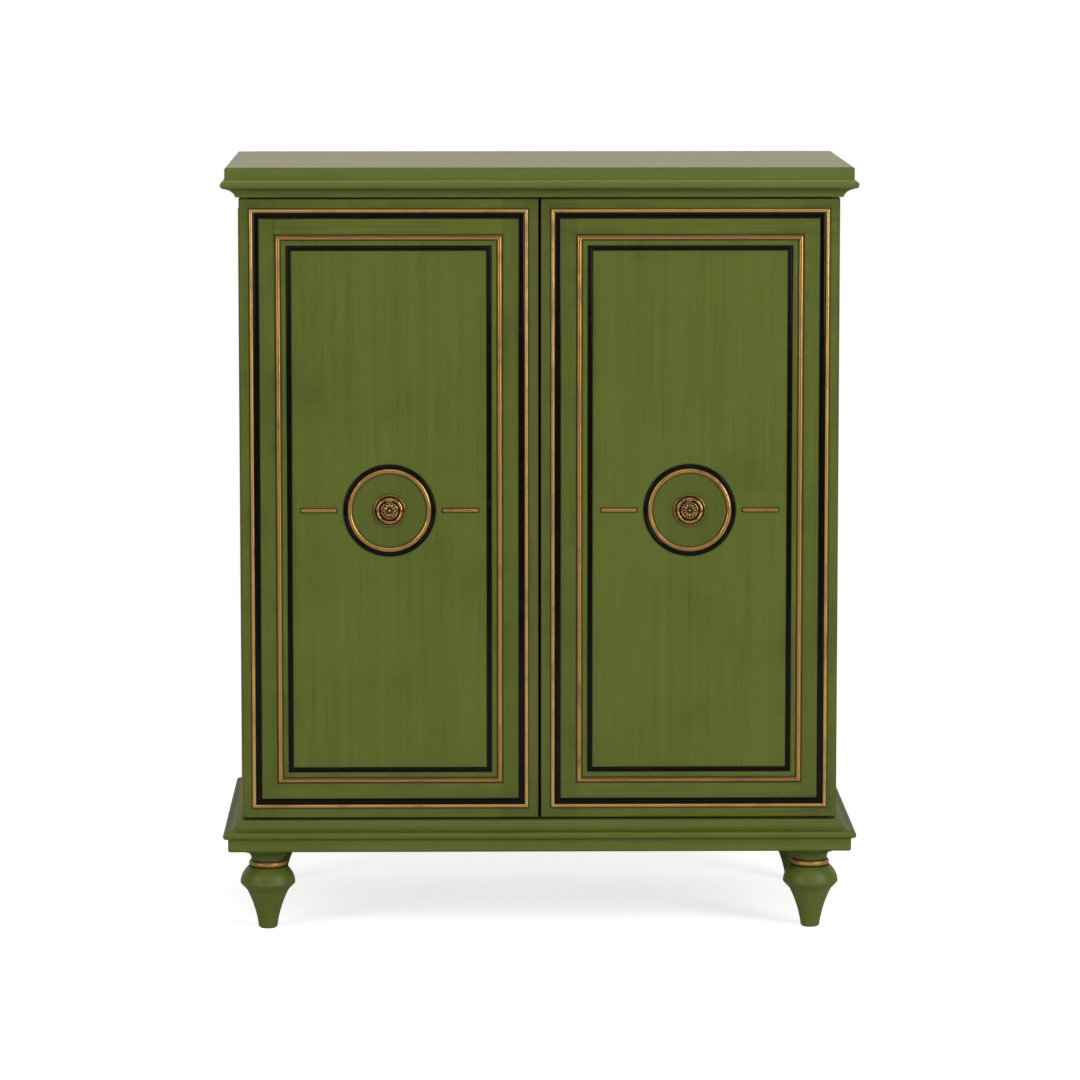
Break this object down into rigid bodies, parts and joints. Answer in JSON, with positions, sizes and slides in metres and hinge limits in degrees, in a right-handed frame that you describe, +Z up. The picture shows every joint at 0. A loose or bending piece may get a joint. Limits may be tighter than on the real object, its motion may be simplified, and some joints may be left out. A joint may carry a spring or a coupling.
{
  "type": "two-door cabinet",
  "caption": "Green painted cabinet with hinged doors, gold and black applied mouldings, ring pulls and turned feet; shelves inside for storage.",
  "frame": {"origin": "on the floor, midway across the overall width and the overall depth", "axes": "+Z up, -Y out of the doors, +X to the right of someone who faces the doors"},
  "size_m": [0.762, 0.4, 0.9235],
  "materials": {
    "green_paint": "satin brushed paint",
    "gold_paint": "antique gold paint",
    "black_paint": "satin black paint",
    "stained_wood": "stained and sealed",
    "aged_brass": "aged brass",
    "steel": "zinc plated",
    "dark_plastic": "matte",
    "pale_plastic": "matte"
  },
  "bodies": {
    "case_body": {"back_panel": "stained_wood", "back_panel_screws": "steel", "case_bottom": "green_paint", "case_hardware_screws": "steel", "case_hinge_leaves": "aged_brass", "case_screws": "steel", "case_top": "green_paint", "catch_magnets": "steel", "crown_front": "green_paint", "crown_left": "green_paint", "crown_right": "green_paint", "foot_back_left": "green_paint", "foot_back_right": "green_paint", "foot_blocks": "stained_wood", "foot_bolts": "steel", "foot_front_left": "green_paint", "foot_front_right": "green_paint", "foot_glides": "pale_plastic", "hinge_washers": "aged_brass", "left_side_black_frames": "black_paint", "left_side_gold_frames": "gold_paint", "left_side_panel": "green_paint", "lower_shelf": "stained_wood", "magnetic_catch": "dark_plastic", "plinth_back_rail": "stained_wood", "plinth_front": "green_paint", "plinth_left": "green_paint", "plinth_right": "green_paint", "right_side_black_frames": "black_paint", "right_side_gold_frames": "gold_paint", "right_side_panel": "green_paint", "shelf_pins": "aged_brass", "top_board": "green_paint", "top_board_screws": "steel", "upper_shelf": "stained_wood"},
    "left_door_body": {"left_door": "green_paint", "left_door_black_ring": "black_paint", "left_door_gold_ring_and_bars": "gold_paint", "left_door_hinge_leaves": "aged_brass", "left_door_inner_black_frame": "black_paint", "left_door_inner_gold_frame": "gold_paint", "left_door_outer_black_frame": "black_paint", "left_door_outer_gold_frame": "gold_paint", "left_door_screws": "steel", "left_strike_plate": "steel", "left_pull_plate": "aged_brass"},
    "right_door_body": {"right_door": "green_paint", "right_door_black_ring": "black_paint", "right_door_gold_ring_and_bars": "gold_paint", "right_door_hinge_leaves": "aged_brass", "right_door_inner_black_frame": "black_paint", "right_door_inner_gold_frame": "gold_paint", "right_door_outer_black_frame": "black_paint", "right_door_outer_gold_frame": "gold_paint", "right_door_screws": "steel", "right_strike_plate": "steel", "right_pull_plate": "aged_brass"},
    "left_ring_body": {"left_pull_ring": "aged_brass"},
    "right_ring_body": {"right_pull_ring": "aged_brass"}
  },
  "joints": [
    {"name": "left_door_swing", "type": "hinge", "parent": "case_body", "child": "left_door_body", "pos_m": [-0.352, -0.169, 0.5125], "axis": [0, 0, -1], "range_deg": [0, 110]},
    {"name": "left_pull_swing", "type": "hinge", "parent": "left_door_body", "child": "left_ring_body", "pos_m": [-0.17975, -0.1806, 0.52564], "axis": [-1, 0, 0], "range_deg": [0, 100]},
    {"name": "right_door_swing", "type": "hinge", "parent": "case_body", "child": "right_door_body", "pos_m": [0.352, -0.169, 0.5125], "axis": [0, 0, 1], "range_deg": [0, 110]},
    {"name": "right_pull_swing", "type": "hinge", "parent": "right_door_body", "child": "right_ring_body", "pos_m": [0.17975, -0.1806, 0.52564], "axis": [-1, 0, 0], "range_deg": [0, 100]}
  ]
}
